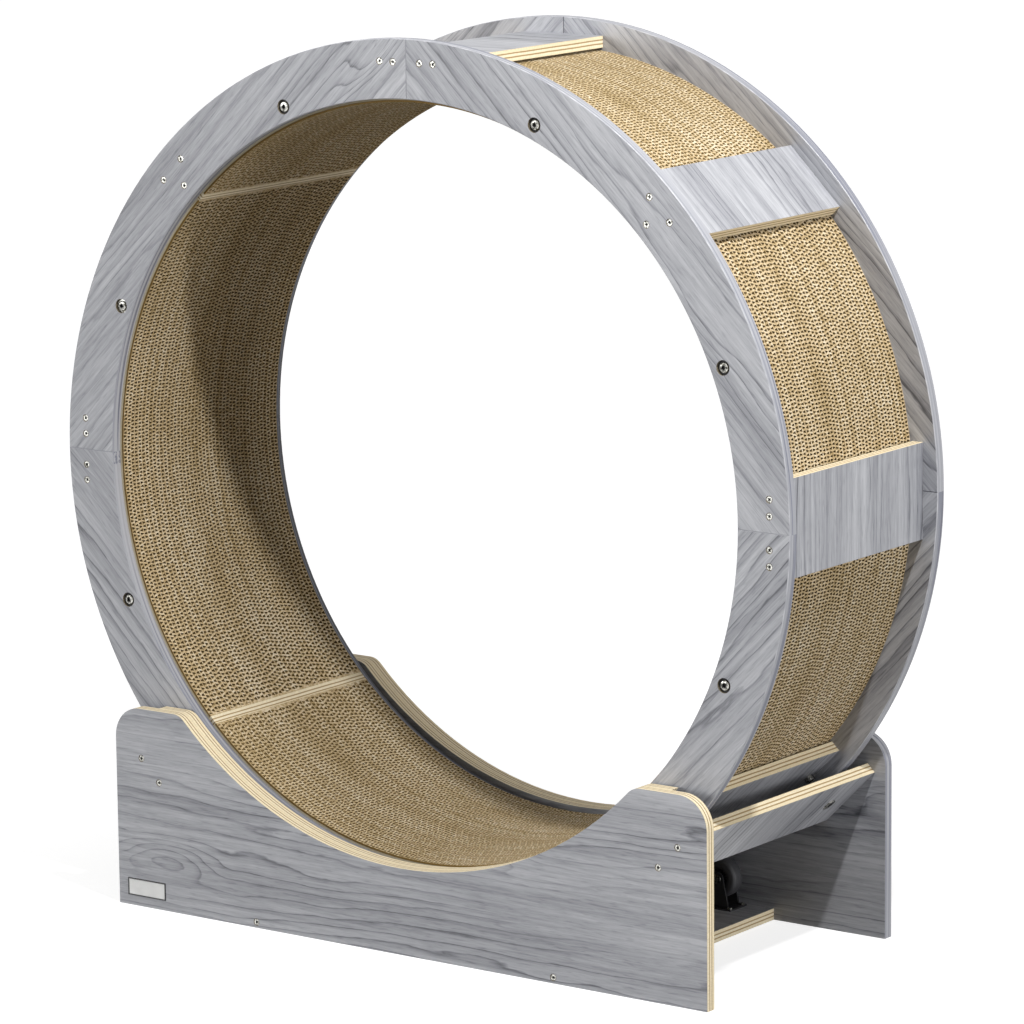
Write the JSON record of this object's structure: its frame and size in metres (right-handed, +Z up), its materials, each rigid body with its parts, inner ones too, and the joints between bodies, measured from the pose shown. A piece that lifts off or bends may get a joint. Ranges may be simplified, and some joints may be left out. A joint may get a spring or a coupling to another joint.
{
  "type": "cat exercise wheel",
  "caption": "Large plywood exercise wheel for a cat, with a corrugated cardboard running track, turning on casters in a low stand with hollowed side panels.",
  "frame": {"origin": "on the floor, under the middle of the wheel and of the stand", "axes": "+X along the stand, to the right as seen from the front, +Y from the front panel to the back panel, along the wheel's axis, +Z up"},
  "size_m": [1.1, 0.4107, 1.1303],
  "materials": {
    "grey_laminate": "grey wood-grain laminate on plywood, satin, with bare layered edges on the boards",
    "bare_ply": "bare layered plywood edge",
    "corrugated_card": "corrugated cardboard on edge, flutes open to the surface",
    "screw_steel": "zinc-plated steel",
    "bolt_steel": "nickel-plated steel",
    "plate_black": "blank dark plate with a bright face",
    "bracket_black": "black painted pressed steel",
    "hub_black": "moulded black nylon",
    "tyre_black": "solid black rubber tyre"
  },
  "bodies": {
    "stand": {"front_panel": "grey_laminate", "back_panel": "grey_laminate", "front_guide": "grey_laminate", "back_guide": "grey_laminate", "left_end_board": "grey_laminate", "right_end_board": "grey_laminate", "bottom_board": "grey_laminate", "panel_screws_front": "screw_steel", "panel_screws_back": "screw_steel", "lock_bush": "bolt_steel", "label_plate": "plate_black", "caster_screws": "screw_steel", "bracket_fl": "bracket_black", "bracket_fr": "bracket_black", "bracket_bl": "bracket_black", "bracket_br": "bracket_black", "axle_fl": "bolt_steel", "axle_fr": "bolt_steel", "axle_bl": "bolt_steel", "axle_br": "bolt_steel"},
    "wheel": {"front_rim_ne": "grey_laminate", "front_rim_nw": "grey_laminate", "front_rim_sw": "grey_laminate", "front_rim_se": "grey_laminate", "back_rim_ne": "grey_laminate", "back_rim_nw": "grey_laminate", "back_rim_sw": "grey_laminate", "back_rim_se": "grey_laminate", "slat_000": "grey_laminate", "slat_045": "grey_laminate", "slat_090": "grey_laminate", "slat_135": "grey_laminate", "slat_180": "grey_laminate", "slat_225": "grey_laminate", "slat_270": "grey_laminate", "slat_315": "grey_laminate", "divider_045": "bare_ply", "divider_135": "bare_ply", "divider_225": "bare_ply", "divider_315": "bare_ply", "pad_east": "corrugated_card", "pad_north": "corrugated_card", "pad_west": "corrugated_card", "pad_south": "corrugated_card", "tie_bolts": "bolt_steel", "tie_nuts": "bolt_steel", "rim_screws_front": "screw_steel", "rim_screws_back": "screw_steel", "lock_socket": "bolt_steel"},
    "roller_fl": {"hub_fl": "hub_black", "tyre_fl": "tyre_black"},
    "roller_fr": {"hub_fr": "hub_black", "tyre_fr": "tyre_black"},
    "roller_bl": {"hub_bl": "hub_black", "tyre_bl": "tyre_black"},
    "roller_br": {"hub_br": "hub_black", "tyre_br": "tyre_black"}
  },
  "joints": [
    {"name": "wheel_spin", "type": "hinge", "parent": "stand", "child": "wheel", "pos_m": [0, 0, 0.58032], "axis": [0, 1, 0], "continuous": true},
    {"name": "spin_fl", "type": "hinge", "parent": "stand", "child": "roller_fl", "pos_m": [-0.23, -0.1635, 0.053], "axis": [0, 1, 0], "continuous": true},
    {"name": "spin_fr", "type": "hinge", "parent": "stand", "child": "roller_fr", "pos_m": [0.23, -0.1635, 0.053], "axis": [0, 1, 0], "continuous": true},
    {"name": "spin_bl", "type": "hinge", "parent": "stand", "child": "roller_bl", "pos_m": [-0.23, 0.1635, 0.053], "axis": [0, 1, 0], "continuous": true},
    {"name": "spin_br", "type": "hinge", "parent": "stand", "child": "roller_br", "pos_m": [0.23, 0.1635, 0.053], "axis": [0, 1, 0], "continuous": true}
  ],
  "couplings": [
    {"joint": "spin_fl", "follows": "wheel_spin", "ratio": -22},
    {"joint": "spin_fr", "follows": "wheel_spin", "ratio": -22},
    {"joint": "spin_bl", "follows": "wheel_spin", "ratio": -22},
    {"joint": "spin_br", "follows": "wheel_spin", "ratio": -22}
  ]
}
